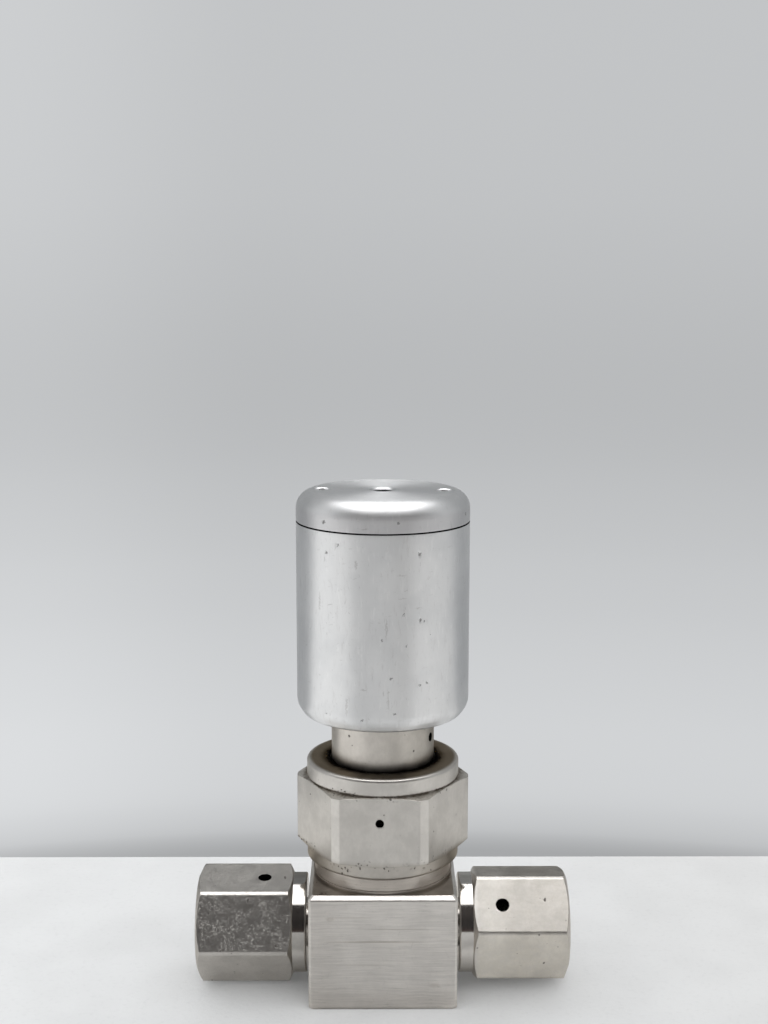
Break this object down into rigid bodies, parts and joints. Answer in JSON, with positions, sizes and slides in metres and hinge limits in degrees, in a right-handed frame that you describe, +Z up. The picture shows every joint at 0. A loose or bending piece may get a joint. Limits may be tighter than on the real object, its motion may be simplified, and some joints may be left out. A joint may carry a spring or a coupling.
{
  "type": "needle valve",
  "caption": "Air-operated, spring-closed needle valve: round actuator on a hex bonnet nut, square block, inline female face-seal end nuts with test ports.",
  "frame": {"origin": "centre of the square block's underside, on the stem's axis", "axes": "+Z up the stem's axis to the air port, +X along the flow passage to the right-hand end nut, +Y to the back"},
  "size_m": [0.0694, 0.0318, 0.0943],
  "materials": {
    "block_steel": "brushed stainless block",
    "gland_steel": "fine turned stainless",
    "union_nut_steel": "satin stainless, polished collar",
    "thrust_ring_bronze": "plain bronze slip ring",
    "bonnet_nut_steel": "satin stainless with small dents",
    "bonnet_steel": "fine turned stainless",
    "gasket_steel": "soft annealed ring",
    "bellows_steel": "thin welded leaves",
    "stem_steel": "ground",
    "tip_polymer": "hard white fluoropolymer",
    "bush_bronze": "sintered bronze",
    "seal_rubber": "black elastomer",
    "housing_aluminium": "satin clear anodised",
    "cap_aluminium": "turned face, satin edge",
    "piston_aluminium": "turned",
    "band_polymer": "filled PTFE",
    "spring_steel": "drawn spring wire"
  },
  "bodies": {
    "root": {"valve_body": "block_steel", "left_gland": "gland_steel", "right_gland": "gland_steel", "bonnet_nut": "bonnet_nut_steel", "bonnet": "bonnet_steel", "body_gasket": "gasket_steel", "bellows_flange": "bonnet_steel", "bellows": "bellows_steel", "stem_guide_bush": "bush_bronze", "rod_seal": "seal_rubber", "seal_washer": "stem_steel", "actuator_housing": "housing_aluminium", "housing_seal": "seal_rubber", "closing_spring_outer": "spring_steel", "closing_spring_inner": "spring_steel", "spring_seat": "spring_steel", "actuator_cap": "cap_aluminium", "cap_seal": "seal_rubber", "cap_rod_seal": "seal_rubber"},
    "stem": {"valve_stem": "stem_steel", "stem_tip": "tip_polymer", "bellows_end_ring": "stem_steel", "piston": "piston_aluminium", "piston_seal": "seal_rubber", "piston_guide_band": "band_polymer", "piston_rod": "stem_steel", "piston_nut": "stem_steel", "stroke_stop": "stem_steel"},
    "left_ring": {"left_thrust_ring": "thrust_ring_bronze"},
    "left_nut": {"left_union_nut": "union_nut_steel"},
    "right_ring": {"right_thrust_ring": "thrust_ring_bronze"},
    "right_nut": {"right_union_nut": "union_nut_steel"}
  },
  "joints": [
    {"name": "stem_lift", "type": "slide", "parent": "root", "child": "stem", "axis": [0, 0, 1], "range_m": [0, 0.0016], "stiffness_N_per_m": 11200, "springref_m": -0.0118, "deforming": ["bellows", "closing_spring_outer", "closing_spring_inner"]},
    {"name": "left_nut_slide", "type": "slide", "parent": "root", "child": "left_ring", "axis": [-1, 0, 0], "range_m": [0, 0.01]},
    {"name": "left_nut_spin", "type": "hinge", "parent": "left_ring", "child": "left_nut", "pos_m": [-0.025, 0, 0.011], "axis": [-1, 0, 0], "continuous": true},
    {"name": "right_nut_slide", "type": "slide", "parent": "root", "child": "right_ring", "axis": [1, 0, 0], "range_m": [0, 0.01]},
    {"name": "right_nut_spin", "type": "hinge", "parent": "right_ring", "child": "right_nut", "pos_m": [0.025, 0, 0.011], "axis": [1, 0, 0], "continuous": true}
  ]
}
